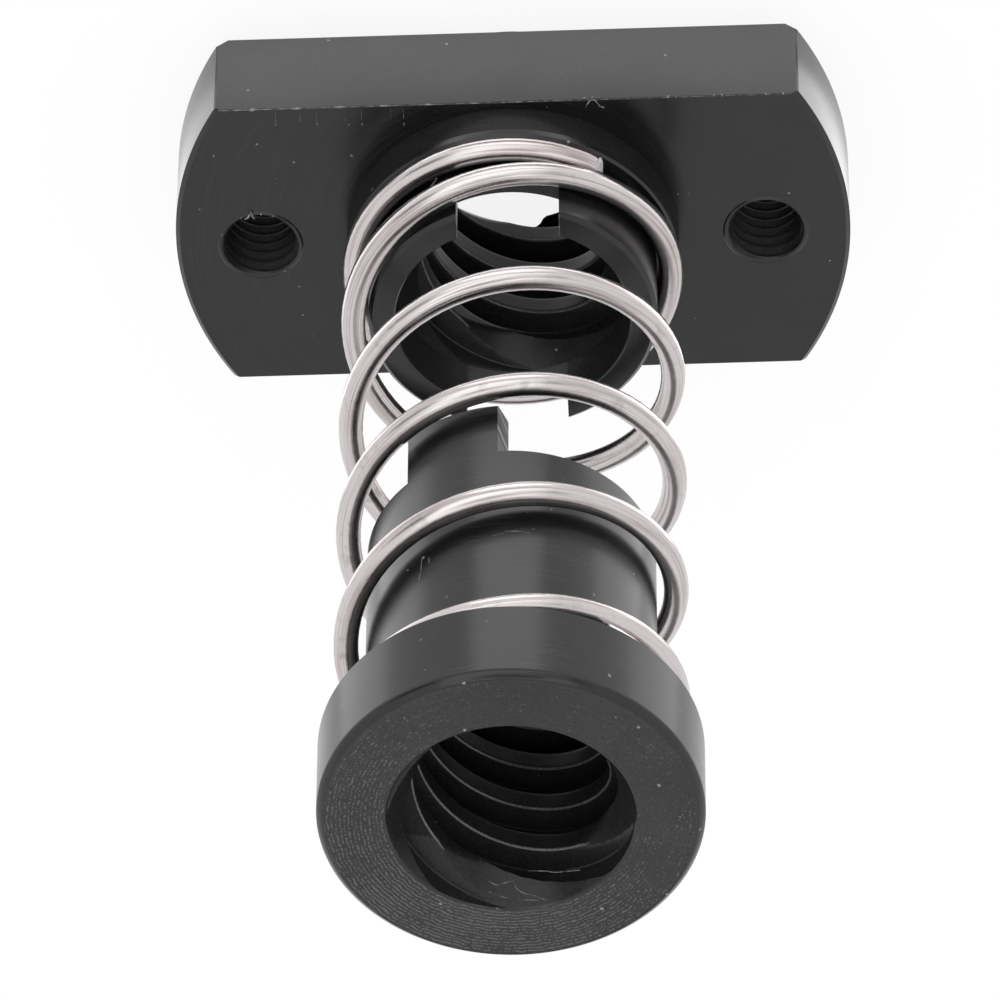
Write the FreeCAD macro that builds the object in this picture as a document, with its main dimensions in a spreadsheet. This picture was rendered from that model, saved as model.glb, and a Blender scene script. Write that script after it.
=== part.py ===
import FreeCAD, Part
import math
import os
import Sketcher

# A spring-loaded nut for an 8 mm four-start lead screw, in millimetres.
# The screw's axis is Z. The flange's mounting face is the plane Z = 0, the pilot boss
# stands below it, and the sleeve, spring and sliding nut stand above it. The flange's
# two tapped holes lie along X. Each piece is a turned blank that is then milled.

# Sizes: name, value in millimetres, turns or degrees, or a formula, and what it is.
# The barrel's diameter leads: shoulder, sliding nut and spring are all sized from it.
SIZES = [
    ("flange_diameter", 24.0, "round blank that the flange is turned from"),
    ("flange_thickness", 4.0, "mounting face to front face"),
    ("across_flats", 12.4, "the two milled flats"),
    ("rear_chamfer", 0.35, "turned on the rear rim before the flats are milled"),
    ("edge_break", 0.15, "small turned edge breaks"),
    ("hole_spacing", 18.0, "centre to centre of the two tapped holes"),
    ("tapping_diameter", 2.5, "tapping drill of an M3 thread"),
    ("barrel_diameter", 10.2, "pilot boss and sleeve"),
    ("boss_length", 1.5, "pilot boss behind the mounting face"),
    ("shoulder_step", 0.5, "ring that the spring sits on, out from the barrel"),
    ("shoulder_diameter", "=barrel_diameter + 2 * shoulder_step", "that ring"),
    ("shoulder_height", 1.5, "ring above the flange's front face"),
    ("sleeve_length", 4.5, "sleeve above the flange's front face"),
    ("slot_width", 3.6, "slots across the sleeve's end"),
    ("slot_depth", 2.0, "slots, and the unthreaded mouth beside them"),
    ("bore_diameter", 6.6, "over the crests of the screw thread"),
    ("mouth_diameter", 8.3, "countersinks, just over the thread's outside"),
    ("mouth_depth", 1.3, "countersinks"),
    ("boss_mouth_diameter", 7.5, "shallower countersink in the pilot boss"),
    ("boss_mouth_depth", 0.7, "that countersink"),
    ("collar_diameter", 13.0, "collar that the spring pushes on"),
    ("collar_thickness", 3.5, "collar"),
    ("body_step", 0.15, "sliding nut's body, in from the barrel"),
    ("body_diameter", "=barrel_diameter - 2 * body_step", "sliding nut behind its collar"),
    ("body_length", 9.5, "collar to the shoulder between the tangs"),
    ("tang_length", 2.4, "tangs that key into the slots"),
    ("tang_clearance", 0.1, "each side of a tang in its slot"),
    ("tang_turn", 23.5, "turn of the sliding nut out of line with the slots, degrees"),
    ("wire_diameter", 0.85, "spring wire"),
    ("spring_clearance", 0.1, "spring round the barrel, each side"),
    (
        "spring_diameter",
        "=barrel_diameter + 2 * (spring_clearance + wire_diameter)",
        "outside of the spring",
    ),
    ("spring_length", 25.2, "spring when it is relaxed"),
    ("spring_turns", 6.0, "all turns"),
    ("closed_turns", 0.77, "flat turns at each end, so that the next turn just clears the tip"),
    ("spring_start", 55.0, "where the wire begins, degrees from X"),
    ("seat_gap", 0.02, "between the spring and each seat"),
]

# How far the pitch takes to grow from a flat end, in turns, the points on a turn, and
# the narrow flats round the wire, which keep the long coil light in facets
RAMP_TURNS = 0.15
POINTS_PER_TURN = 16
WIRE_FLATS = 10

doc = FreeCAD.newDocument("lead_screw_nut")
sheet = doc.addObject("Spreadsheet::Sheet", "sizes")
for row, (alias, number, meaning) in enumerate(SIZES, start=1):
    sheet.set(f"A{row}", meaning)
    sheet.set(f"B{row}", str(number))
    sheet.setAlias(f"B{row}", alias)
doc.recompute()


def value(expression):
    """The number that an expression on the sheet gives."""
    result = sheet.evalExpression(expression)
    return float(getattr(result, "Value", result))


def origin_plane(body, role):
    """One of the body's own origin planes."""
    return next(item for item in body.Origin.OriginFeatures if item.Role == role)


def new_sketch(body, name, plane):
    """An empty sketch on one of the body's origin planes."""
    sketch = body.newObject("Sketcher::SketchObject", name)
    sketch.AttachmentSupport = [(origin_plane(body, plane), "")]
    sketch.MapMode = "FlatFace"
    return sketch


def tie_point(sketch, line, end, place):
    """Hold one end of a line at a place given by two expressions on the sheet."""
    for kind, expression in zip(("DistanceX", "DistanceY"), place):
        number = sketch.addConstraint(
            Sketcher.Constraint(kind, -1, 1, line, end, value(expression))
        )
        sketch.setExpression(f"Constraints[{number}]", expression)


def draw_outline(sketch, places):
    """A closed outline of straight lines, each corner tied to the sheet."""
    corners = [FreeCAD.Vector(value(x), value(y), 0) for x, y in places]
    lines = []
    for start, end in zip(corners, corners[1:] + corners[:1]):
        lines.append(sketch.addGeometry(Part.LineSegment(start, end), False))
    for this, following in zip(lines, lines[1:] + lines[:1]):
        sketch.addConstraint(Sketcher.Constraint("Coincident", this, 2, following, 1))
    for line, place in zip(lines, places):
        tie_point(sketch, line, 1, place)


def draw_circle(sketch, x, radius):
    """A circle on the sketch's X axis, tied to the sheet."""
    circle = sketch.addGeometry(
        Part.Circle(FreeCAD.Vector(value(x), 0, 0), FreeCAD.Vector(0, 0, 1), value(radius)), False
    )
    place = sketch.addConstraint(Sketcher.Constraint("DistanceX", -1, 1, circle, 3, value(x)))
    sketch.setExpression(f"Constraints[{place}]", x)
    sketch.addConstraint(Sketcher.Constraint("PointOnObject", circle, 3, -1))
    size = sketch.addConstraint(Sketcher.Constraint("Radius", circle, value(radius)))
    sketch.setExpression(f"Constraints[{size}]", radius)


def turn(body, sketch):
    """Turn the outline round the screw's axis."""
    blank = body.newObject("PartDesign::Revolution", "turned")
    blank.Profile = sketch
    blank.ReferenceAxis = (sketch, ["V_Axis"])
    blank.Angle = 360
    doc.recompute()
    return blank


def mill(body, name, sketch, both_ways=False, upwards=False):
    """Cut the sketch's outlines right through, and check that something was cut."""
    before = body.Shape.Volume
    cut = body.newObject("PartDesign::Pocket", name)
    cut.Profile = sketch
    cut.Type = "ThroughAll"
    cut.Midplane = both_ways
    cut.Reversed = upwards
    doc.recompute()
    if body.Shape.Volume >= before:
        raise RuntimeError(f"{name} cuts nothing")
    return cut


# Flange nut
SHOULDER_TOP = "sizes.flange_thickness + sizes.shoulder_height"
SLEEVE_TOP = "sizes.flange_thickness + sizes.sleeve_length"
SLOT_FLOOR = "sizes.flange_thickness + sizes.sleeve_length - sizes.slot_depth"
BARREL_R = "sizes.barrel_diameter / 2"
BORE_R = "sizes.bore_diameter / 2"
MOUTH_R = "sizes.mouth_diameter / 2"
FLANGE_R = "sizes.flange_diameter / 2"

flange_nut = doc.addObject("PartDesign::Body", "flange_nut")
flange_nut.Label = "flange_nut"
outline = new_sketch(flange_nut, "flange_nut_outline", "XZ_Plane")
draw_outline(outline, [
    ("sizes.boss_mouth_diameter / 2", "-sizes.boss_length"),
    (f"{BARREL_R} - sizes.edge_break", "-sizes.boss_length"),
    (BARREL_R, "sizes.edge_break - sizes.boss_length"),
    (BARREL_R, "0"),
    (f"{FLANGE_R} - sizes.rear_chamfer", "0"),
    (FLANGE_R, "sizes.rear_chamfer"),
    (FLANGE_R, "sizes.flange_thickness - sizes.edge_break"),
    (f"{FLANGE_R} - sizes.edge_break", "sizes.flange_thickness"),
    ("sizes.shoulder_diameter / 2", "sizes.flange_thickness"),
    ("sizes.shoulder_diameter / 2", SHOULDER_TOP),
    (BARREL_R, SHOULDER_TOP),
    (BARREL_R, f"{SLEEVE_TOP} - sizes.edge_break"),
    (f"{BARREL_R} - sizes.edge_break", SLEEVE_TOP),
    (MOUTH_R, SLEEVE_TOP),
    (MOUTH_R, SLOT_FLOOR),
    (BORE_R, f"{SLOT_FLOOR} - sizes.mouth_depth"),
    (BORE_R, "sizes.boss_mouth_depth - sizes.boss_length"),
])
turn(flange_nut, outline)

flats = new_sketch(flange_nut, "flats_outline", "XY_Plane")
for side in ("", "-"):
    draw_outline(flats, [
        ("-sizes.flange_diameter", f"{side}sizes.across_flats / 2"),
        ("sizes.flange_diameter", f"{side}sizes.across_flats / 2"),
        ("sizes.flange_diameter", f"{side}sizes.flange_diameter"),
        ("-sizes.flange_diameter", f"{side}sizes.flange_diameter"),
    ])
mill(flange_nut, "flats", flats, both_ways=True)

holes = new_sketch(flange_nut, "tapped_hole_outline", "XY_Plane")
for side in ("", "-"):
    draw_circle(holes, f"{side}sizes.hole_spacing / 2", "sizes.tapping_diameter / 2")
mill(flange_nut, "tapped_holes", holes, both_ways=True)

slots = new_sketch(flange_nut, "slot_outline", "XY_Plane")
slots.setExpression("AttachmentOffset.Base.z", SLOT_FLOOR)
draw_outline(slots, [
    ("-sizes.slot_width / 2", "-sizes.barrel_diameter"),
    ("sizes.slot_width / 2", "-sizes.barrel_diameter"),
    ("sizes.slot_width / 2", "sizes.barrel_diameter"),
    ("-sizes.slot_width / 2", "sizes.barrel_diameter"),
])
mill(flange_nut, "slots", slots, upwards=True)

# Sliding nut, drawn from the back face of its collar downwards
COLLAR_BACK = f"{SHOULDER_TOP} + sizes.spring_length + 2 * sizes.seat_gap"
BODY_R = "sizes.body_diameter / 2"
COLLAR_R = "sizes.collar_diameter / 2"
TANG_END = "-sizes.body_length - sizes.tang_length"
TANG_HALF = "sizes.slot_width / 2 - sizes.tang_clearance"

sliding_nut = doc.addObject("PartDesign::Body", "sliding_nut")
sliding_nut.Label = "sliding_nut"
outline = new_sketch(sliding_nut, "sliding_nut_outline", "XZ_Plane")
draw_outline(outline, [
    (MOUTH_R, "sizes.collar_thickness"),
    (BORE_R, "sizes.collar_thickness - sizes.mouth_depth"),
    (BORE_R, "-sizes.body_length + sizes.mouth_depth"),
    (MOUTH_R, "-sizes.body_length"),
    (MOUTH_R, TANG_END),
    (BODY_R, TANG_END),
    (BODY_R, "0"),
    (f"{COLLAR_R} - sizes.edge_break", "0"),
    (COLLAR_R, "sizes.edge_break"),
    (COLLAR_R, "sizes.collar_thickness - 2 * sizes.edge_break"),
    (f"{COLLAR_R} - 2 * sizes.edge_break", "sizes.collar_thickness"),
])
turn(sliding_nut, outline)

beside_tangs = new_sketch(sliding_nut, "beside_tangs_outline", "XY_Plane")
beside_tangs.setExpression("AttachmentOffset.Base.z", "-sizes.body_length")
for side in ("", "-"):
    draw_outline(beside_tangs, [
        (f"{side}({TANG_HALF})", "-sizes.body_diameter"),
        (f"{side}sizes.body_diameter", "-sizes.body_diameter"),
        (f"{side}sizes.body_diameter", "sizes.body_diameter"),
        (f"{side}({TANG_HALF})", "sizes.body_diameter"),
    ])
mill(sliding_nut, "tangs", beside_tangs)
sliding_nut.setExpression("Placement.Base.z", COLLAR_BACK)
sliding_nut.setExpression("Placement.Rotation.Angle", "sizes.tang_turn")


# Spring
def wire_height(turns, total, closed, rise):
    """Height of the wire above its start: flat, climbing evenly, then flat again."""

    def climbed(from_start):
        """The climb's share at a place, with a soft start over the ramp."""
        past = max(from_start, 0.0)
        if past < RAMP_TURNS:
            return past * past / (2 * RAMP_TURNS)
        return past - RAMP_TURNS / 2

    climb_start = closed
    climb_end = total - closed
    share = climbed(turns - climb_start) - climbed(turns - climb_end + RAMP_TURNS)
    whole = climbed(total - climb_start) - climbed(total - climb_end + RAMP_TURNS)
    return rise * share / whole


def wire_section(centre_line, wire_r):
    """The wire's section at its start, with a corner straight up and one straight down."""
    centre = centre_line.value(centre_line.FirstParameter)
    up = FreeCAD.Vector(0, 0, 1)
    outward = centre_line.tangent(centre_line.FirstParameter)[0].cross(up)
    corners = []
    for side in range(WIRE_FLATS):
        angle = math.pi / 2 + 2 * math.pi * side / WIRE_FLATS
        corners.append(centre + (outward * math.cos(angle) + up * math.sin(angle)) * wire_r)
    return Part.makePolygon(corners + corners[:1])


def spring_shape():
    """One wire swept along a helix whose pitch closes up at both ends."""
    wire_r = value("sizes.wire_diameter / 2")
    coil_r = value("sizes.spring_diameter / 2") - wire_r
    total = value("sizes.spring_turns")
    closed = value("sizes.closed_turns")
    rise = value("sizes.spring_length - sizes.wire_diameter")
    start = math.radians(value("sizes.spring_start"))
    points = []
    for step in range(round(total * POINTS_PER_TURN) + 1):
        turns = min(step / POINTS_PER_TURN, total)
        angle = start + 2 * math.pi * turns
        height = wire_height(turns, total, closed, rise)
        points.append(FreeCAD.Vector(coil_r * math.cos(angle), coil_r * math.sin(angle), height))
    centre_line = Part.BSplineCurve()
    centre_line.interpolate(points)
    path = Part.Wire([centre_line.toShape()])
    return path.makePipeShell([wire_section(centre_line, wire_r)], True, True)


spring = doc.addObject("Part::Feature", "spring")
spring.Label = "spring"
spring.Shape = spring_shape()
spring.Placement = FreeCAD.Placement(
    FreeCAD.Vector(0, 0, value(f"{SHOULDER_TOP} + sizes.seat_gap + sizes.wire_diameter / 2")),
    FreeCAD.Rotation(),
)

doc.recompute()

# Check every object, then write each piece
for item in doc.Objects:
    if "Invalid" in item.State or "Error" in item.State:
        raise RuntimeError(f"{item.Label} is not valid")

os.makedirs("parts", exist_ok=True)
for piece in (flange_nut, spring, sliding_nut):
    shape = piece.Shape
    if shape.isNull() or not shape.isValid() or len(shape.Solids) != 1:
        raise RuntimeError(f"{piece.Label} is not one sound solid")
    shape.exportStep(f"parts/{piece.Label}.step")
    print(piece.Label, round(shape.Volume, 2), shape.BoundBox)
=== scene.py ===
import math

import bmesh
import bpy
from mathutils import Matrix, Vector
from mathutils.geometry import tessellate_polygon


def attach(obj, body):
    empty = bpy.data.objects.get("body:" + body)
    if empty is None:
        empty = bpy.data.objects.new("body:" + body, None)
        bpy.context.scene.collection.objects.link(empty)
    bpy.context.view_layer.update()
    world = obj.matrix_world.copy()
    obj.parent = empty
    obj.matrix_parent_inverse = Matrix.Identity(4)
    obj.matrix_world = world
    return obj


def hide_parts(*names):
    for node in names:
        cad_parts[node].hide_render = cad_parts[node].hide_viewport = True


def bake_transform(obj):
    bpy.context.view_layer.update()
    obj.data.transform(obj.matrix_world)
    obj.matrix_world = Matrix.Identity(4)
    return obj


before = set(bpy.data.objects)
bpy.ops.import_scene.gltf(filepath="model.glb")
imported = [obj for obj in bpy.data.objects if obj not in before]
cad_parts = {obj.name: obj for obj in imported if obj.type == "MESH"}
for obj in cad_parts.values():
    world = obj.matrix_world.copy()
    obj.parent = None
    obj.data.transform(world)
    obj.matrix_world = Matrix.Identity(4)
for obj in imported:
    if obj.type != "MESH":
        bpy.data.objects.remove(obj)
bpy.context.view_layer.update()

# A spring-loaded nut for an 8 mm four-start lead screw. Sizes are in millimetres and
# angles in degrees until a mesh is finished. The screw's axis is Z, and the flange's
# mounting face is at height 0.
MM = 0.001

FLANGE_R = 12.0
FLANGE_TOP = 4.0
HALF_FLATS = 6.2
REAR_CHAMFER = 0.35
EDGE_BREAK = 0.15
DEBURR = 0.05
HOLE_X = 9.0
BARREL_R = 5.1
BOSS_END = -1.5
BOSS_MOUTH_R = 3.75
BOSS_MOUTH_DEPTH = 0.7
SHOULDER_R = 5.9
SHOULDER_TOP = 5.5
SHOULDER_BAND = 0.36
SHOULDER_EDGE_WIDTH = 0.08
SHOULDER_EDGE_HEIGHT = 0.1
SLOT_FLOOR = 6.5
SLEEVE_TOP = 8.5
HALF_SLOT = 1.8
MOUTH_R = 4.15
MOUTH_DEPTH = 1.3

# The flange's outline: steps in each round end, how far a flat's corner is broken along the
# flat and, as an angle, along the round, and the shortest stretch that counts as a flat
END_STEPS = 44
FLAT_CORNER = 0.05
FLAT_CORNER_ANGLE = 0.004
SHORTEST_FLAT = 5.0

TANG_END = 18.84
BODY_END = 21.24
COLLAR_BACK = 30.74
COLLAR_FRONT = 34.24
BODY_R = 4.95
COLLAR_R = 6.5
COLLAR_CHAMFER = 0.26
HALF_TANG = 1.7
TANG_TURN = 23.5

# Narrow rings beside the collar's chamfer keep the wide faces flat where they are smoothed,
# and its two corners are eased by this much
SUPPORT = 0.08
CHAMFER_EASE_IN = 0.02
CHAMFER_EASE_ALONG = 0.06

# Screw thread: four starts, right hand. The form is half of one ridge, from the middle
# of its crest to the middle of the groove: along the axis, and the radius there.
CREST_R = 3.3
ROOT_R = MOUTH_R
PITCH = 2.0
LEAD = 8.0
CREST_HEIGHT = 1.66
SCREW_FORM = [
    (0.0, CREST_R), (0.11, CREST_R), (0.22, CREST_R), (0.33, CREST_R), (0.37, CREST_R + 0.012),
    (0.40, CREST_R + 0.06), (0.43, 3.47), (0.465, 3.595), (0.50, 3.72), (0.53, 3.84),
    (0.565, 3.975), (0.60, ROOT_R - 0.04), (0.64, ROOT_R), (0.73, ROOT_R), (0.82, ROOT_R),
    (0.91, ROOT_R), (1.0, ROOT_R),
]

# Where the two narrow faces at the front edge of each crest start along the form, and how
# far past the crest's radius a face still counts as one of them
FRONT_EDGE = (0.33, 0.37)
EDGE_REACH = 0.08

# Thread in the two small holes: M3, one start. The tap has raised a lip round each in
# front, and the lip's sizes are widths beyond the hole's mouth.
TAPPED_MOUTH_R = 1.37
TAPPED_MOUTH_DEPTH = 0.18
TAPPED_CREST_R = 1.25
TAPPED_CREST_HEIGHT = 0.1
TAPPED_PITCH = 0.5
TAPPED_FORM = [(0.0, 1.25), (0.05, 1.25), (0.14, 1.36), (0.21, 1.47), (0.25, 1.47)]
TAPPED_STEPS = 48
TAPPED_ANGLES = [2 * math.pi * step / TAPPED_STEPS for step in range(TAPPED_STEPS)]
LIP_HEIGHT = 0.035
LIP_DIP = 0.015
LIP_FOOT = 0.16
LIP_OUTER = 0.10
LIP_INNER = 0.05

# Spring
WIRE_R = 0.425
COIL_R = 5.625
TURNS = 6.0
CLOSED_TURNS = 0.77
RAMP_TURNS = 0.15
RISE = 24.35
SPRING_START = 55.0
SPRING_BASE = 5.945
SPRING_STEPS = 433
WIRE_SIDES = 28

# The wire's cut end: the way it faces, the width of its broken edge, and the angles over
# which the wire's edges are broken and drawn sharp
CUT_FACING = (0.955, -0.014, 0.296)
CUT_EDGE = 0.04
CUT_ANGLE = 50.0
WIRE_SHARP_ANGLE = 40.0

# Steps in the arcs beside a slot and in the arcs across one
BESIDE_STEPS = 74
ACROSS_STEPS = 22

# Points closer than this are one point, and edges over this angle are sharp
SAME_PLACE = 2e-4
SHARP_ANGLE = 28.0


class Skin:
    """Faces of one closed piece, gathered in millimetres and joined at the end."""

    def __init__(self, materials):
        self.faces = bmesh.new()
        self.materials = materials
        self.finish = 0

    def use(self, name):
        """The finish of the faces that follow."""
        self.finish = list(self.materials).index(name)

    def add(self, places):
        """One face through these places."""
        face = self.faces.faces.new([self.faces.verts.new(place) for place in places])
        face.material_index = self.finish

    def strip(self, first, second, closed=True):
        """Four-sided faces between two loops with the same number of places."""
        count = len(first)
        for here in range(count if closed else count - 1):
            after = (here + 1) % count
            self.add([first[here], first[after], second[after], second[here]])

    def run(self, loops):
        """Strips from each closed loop to the next."""
        for first, second in zip(loops, loops[1:]):
            self.strip(first, second)

    def plate(self, outline, holes=()):
        """A flat face inside an outline and outside its holes."""
        loops = [outline, *holes]
        places = [place for loop in loops for place in loop]
        for corners in tessellate_polygon(loops):
            self.add([places[corner] for corner in corners])

    def finished(self, name):
        """The closed mesh as an object in metres, smooth but for its real edges."""
        faces = self.faces
        bmesh.ops.remove_doubles(faces, verts=faces.verts, dist=SAME_PLACE)
        bmesh.ops.dissolve_degenerate(faces, dist=1e-5, edges=faces.edges)
        bmesh.ops.recalc_face_normals(faces, faces=faces.faces)
        open_edges = sum(not edge.is_manifold for edge in faces.edges)
        print(name, "faces", len(faces.faces), "open edges", open_edges)
        bmesh.ops.scale(faces, vec=(MM, MM, MM), verts=faces.verts)
        smooth_over(faces, SHARP_ANGLE)
        piece = empty_piece(name)
        faces.to_mesh(piece.data)
        faces.free()
        for material in self.materials.values():
            piece.data.materials.append(material)
        return piece


def smooth_over(faces, sharp_angle):
    """Shade every face smooth, but for edges over this angle."""
    for face in faces.faces:
        face.smooth = True
    limit = math.radians(sharp_angle)
    for edge in faces.edges:
        edge.smooth = edge.calc_face_angle(0.0) < limit


def empty_piece(name):
    """An object with an empty mesh, to be filled."""
    piece = bpy.data.objects.new(name, bpy.data.meshes.new(name))
    bpy.context.scene.collection.objects.link(piece)
    return piece


def polar(radius, angle, height, centre_x=0.0):
    """A place by radius, angle in radians and height."""
    return Vector((centre_x + radius * math.cos(angle), radius * math.sin(angle), height))


def arc_angles(radius, half_width, turned=0.0):
    """The angles of four arcs that make a circle, split where a slot or tang of this width
    crosses it: beside on +X, across on +Y, beside on -X and across on -Y, all turned."""
    corner = math.acos(half_width / radius)
    spans = [
        (-corner, corner, BESIDE_STEPS),
        (corner, math.pi - corner, ACROSS_STEPS),
        (math.pi - corner, math.pi + corner, BESIDE_STEPS),
        (math.pi + corner, 2 * math.pi - corner, ACROSS_STEPS),
    ]
    shift = math.radians(turned)
    return [
        [shift + start + (end - start) * step / steps for step in range(steps + 1)]
        for start, end, steps in spans
    ]


def arcs(radius, height, half_width, turned=0.0):
    """The four arcs at one height."""
    return [
        [polar(radius, angle, height) for angle in part]
        for part in arc_angles(radius, half_width, turned)
    ]


def ring(radius, height, half_width, turned=0.0):
    """The same four arcs as one closed loop."""
    return [place for part in arcs(radius, height, half_width, turned) for place in part[:-1]]


def hole_loop(radius, height, centre_x):
    """A plain circle round one of the small holes."""
    return [polar(radius, angle, height, centre_x) for angle in TAPPED_ANGLES]


def flange_loop(radius, half_flats, height):
    """The flange's outline: round ends, and flats with finely broken corners."""
    corner = math.asin(half_flats / radius)
    flat_end = radius * math.cos(corner) - FLAT_CORNER
    places = []
    for side in (1, -1):
        for step in range(END_STEPS + 1):
            angle = (2 * step / END_STEPS - 1) * (corner - FLAT_CORNER_ANGLE)
            places.append(Vector((
                side * radius * math.cos(angle), side * radius * math.sin(angle), height
            )))
        places.append(Vector((side * flat_end, side * half_flats, height)))
        places.append(Vector((-side * flat_end, side * half_flats, height)))
    return places


class Thread:
    """A threaded bore between two heights. It opens in a cone at each end, whose place and
    slope mouths gives: (height where the cone meets the crests, rise of the radius)."""

    def __init__(self, form, pitch, lead, crest_height, low, high, mouths, centre_x=0.0):
        self.form = form
        self.pitch = pitch
        self.lead = lead
        self.crest_height = crest_height
        self.low = low
        self.high = high
        self.mouths = mouths
        self.centre_x = centre_x

    def climb(self, angle):
        """How far a crest has climbed at this angle."""
        return self.crest_height + self.lead * angle / (2 * math.pi)

    def radius(self, angle, height):
        """The bore's radius there: the thread's, or a cone's where that is wider."""
        half = self.pitch / 2
        along = abs((height - self.climb(angle) + half) % self.pitch - half)
        radius = self.form[-1][1]
        for (start, first), (end, second) in zip(self.form, self.form[1:]):
            if along <= end:
                radius = first + (second - first) * (along - start) / (end - start)
                break
        crest = self.form[0][1]
        return max([radius] + [crest + (height - start) * slope for start, slope in self.mouths])

    def end(self, angles, height):
        """The bore's outline at one of its ends."""
        return [polar(self.radius(angle, height), angle, height, self.centre_x) for angle in angles]

    def wall(self, skin, angles, finish, crest_highlight_finish, edge_starts=()):
        """The bore's faces. The two cones are bored, the thread has this finish, and the crests'
        front edges get a paler colour of their own, which is a painted highlight."""
        profile = [(-along, radius) for along, radius in self.form[-2:0:-1]] + self.form
        low, high = self.low, self.high
        first = math.floor((low - self.climb(angles[-1])) / self.pitch) - 2
        last = math.ceil((high - self.climb(angles[0])) / self.pitch) + 2
        columns = []
        for angle in [*angles, angles[0] + 2 * math.pi]:
            crest = self.climb(angle)
            column = []
            for ridge in range(first, last):
                for along, _ in profile:
                    height = min(max(crest + ridge * self.pitch + along, low), high)
                    column.append(polar(self.radius(angle, height), angle, height, self.centre_x))
            columns.append(column)
        reach = self.form[0][1] + EDGE_REACH
        for this, following in zip(columns, columns[1:]):
            for row in range(len(this) - 1):
                corners = [this[row], following[row], following[row + 1], this[row + 1]]
                heights = [corner.z for corner in corners]
                if max(heights) <= low or min(heights) >= high:
                    continue
                narrow = math.hypot(this[row].x - self.centre_x, this[row].y) < reach
                at_edge = profile[row % len(profile)][0] in edge_starts and narrow
                in_cone = max(heights) > self.mouths[1][0] or min(heights) < self.mouths[0][0]
                # The crests' front edges take the painted highlight
                skin.use(crest_highlight_finish if at_edge else "bored" if in_cone else finish)
                skin.add(corners)


def ring_angles(half_width, turned=0.0):
    """The angles of the bore's columns, which match a ring at the mouth's radius."""
    return [angle for part in arc_angles(MOUTH_R, half_width, turned) for angle in part[:-1]]


# Shader groups and materials
class Board:
    """Short calls that add nodes to a tree and feed them from values or other sockets."""

    def __init__(self, tree):
        self.tree = tree

    def node(self, kind, feeds=None, **settings):
        made = self.tree.nodes.new(kind)
        for setting, choice in settings.items():
            setattr(made, setting, choice)
        for socket, source in (feeds or {}).items():
            self.feed(made.inputs[socket], source)
        return made

    def feed(self, socket, source):
        if isinstance(source, bpy.types.NodeSocket):
            self.tree.links.new(source, socket)
        else:
            socket.default_value = source

    def first(self, kind, feeds=None, **settings):
        """The first output of a new node."""
        return self.node(kind, feeds, **settings).outputs[0]

    def math(self, operation, *values):
        return self.first("ShaderNodeMath", dict(enumerate(values)), operation=operation)

    def plus(self, number, other):
        return self.math("ADD", number, other)

    def minus(self, number, other):
        return self.math("SUBTRACT", number, other)

    def times(self, number, other):
        return self.math("MULTIPLY", number, other)

    def over(self, number, other):
        return self.math("DIVIDE", number, other)

    def vector(self, operation, *values):
        made = self.node("ShaderNodeVectorMath", dict(enumerate(values)), operation=operation)
        return made.outputs["Value" if operation in ("LENGTH", "DOT_PRODUCT") else "Vector"]

    def scaled(self, direction, size):
        return self.first("ShaderNodeVectorMath", {0: direction, 3: size}, operation="SCALE")

    def join(self, x=0.0, y=0.0, z=0.0):
        return self.first("ShaderNodeCombineXYZ", {"X": x, "Y": y, "Z": z})

    def split(self, place):
        return self.node("ShaderNodeSeparateXYZ", {0: place}).outputs

    def held(self, number):
        """The number, held between 0 and 1."""
        return self.math("MINIMUM", self.math("MAXIMUM", number, 0.0), 1.0)

    def noise(self, place, scale, detail=3.0, roughness=0.5):
        return self.node("ShaderNodeTexNoise", {
            "Vector": place, "Scale": scale, "Detail": detail, "Roughness": roughness,
        }).outputs["Fac"]

    def remap(self, number, low, high, new_low=0.0, new_high=1.0):
        return self.node("ShaderNodeMapRange", {
            "Value": number, "From Min": low, "From Max": high,
            "To Min": new_low, "To Max": new_high,
        }).outputs["Result"]

    def blend(self, factor, first, second):
        made = self.node("ShaderNodeMix", data_type="RGBA", blend_type="MIX")
        self.feed(made.inputs[0], factor)
        self.feed(made.inputs[6], first)
        self.feed(made.inputs[7], second)
        return made.outputs[2]

    def group(self, group, feeds):
        made = self.node("ShaderNodeGroup", node_tree=group)
        for socket, source in feeds.items():
            self.feed(made.inputs[socket], source)
        return made.outputs


def new_group(name, inputs, outputs, kind="ShaderNodeTree"):
    """A node group with named sockets, its board, and the sockets of its input and output.
    An input is (name, kind of socket, value at the start or None)."""
    tree = bpy.data.node_groups.new(name, kind)
    for socket, carries, start in inputs:
        made = tree.interface.new_socket(socket, in_out="INPUT", socket_type=carries)
        if start is not None:
            made.default_value = start
    for socket, carries in outputs:
        tree.interface.new_socket(socket, in_out="OUTPUT", socket_type=carries)
    board = Board(tree)
    return tree, board, board.node("NodeGroupInput").outputs, board.node("NodeGroupOutput").inputs


NUMBER = "NodeSocketFloat"
PLACE = "NodeSocketVector"
WHOLE_NUMBER = "NodeSocketInt"
MATERIAL = "NodeSocketMaterial"
GEOMETRY = "NodeSocketGeometry"

# The radius in metres at which a dash has its stated length, and how far one lane's noise
# lies from the next
DASH_RADIUS = 0.0055
LANE_SHIFT = 7.31


def lathe_path(board, given):
    """How many feeds of the tool a place lies from the axis, or along it on a round wall,
    then the place without its height, and the place's parts."""
    parts = board.split(given["Place"])
    flat = board.join(parts["X"], parts["Y"])
    off_wall = board.minus(1.0, given["Along Axis"])
    face = board.times(board.vector("LENGTH", flat), off_wall)
    wall = board.times(parts["Z"], given["Along Axis"])
    feeds = board.over(board.plus(face, wall), given["Feed"])
    return feeds, flat, parts


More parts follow.
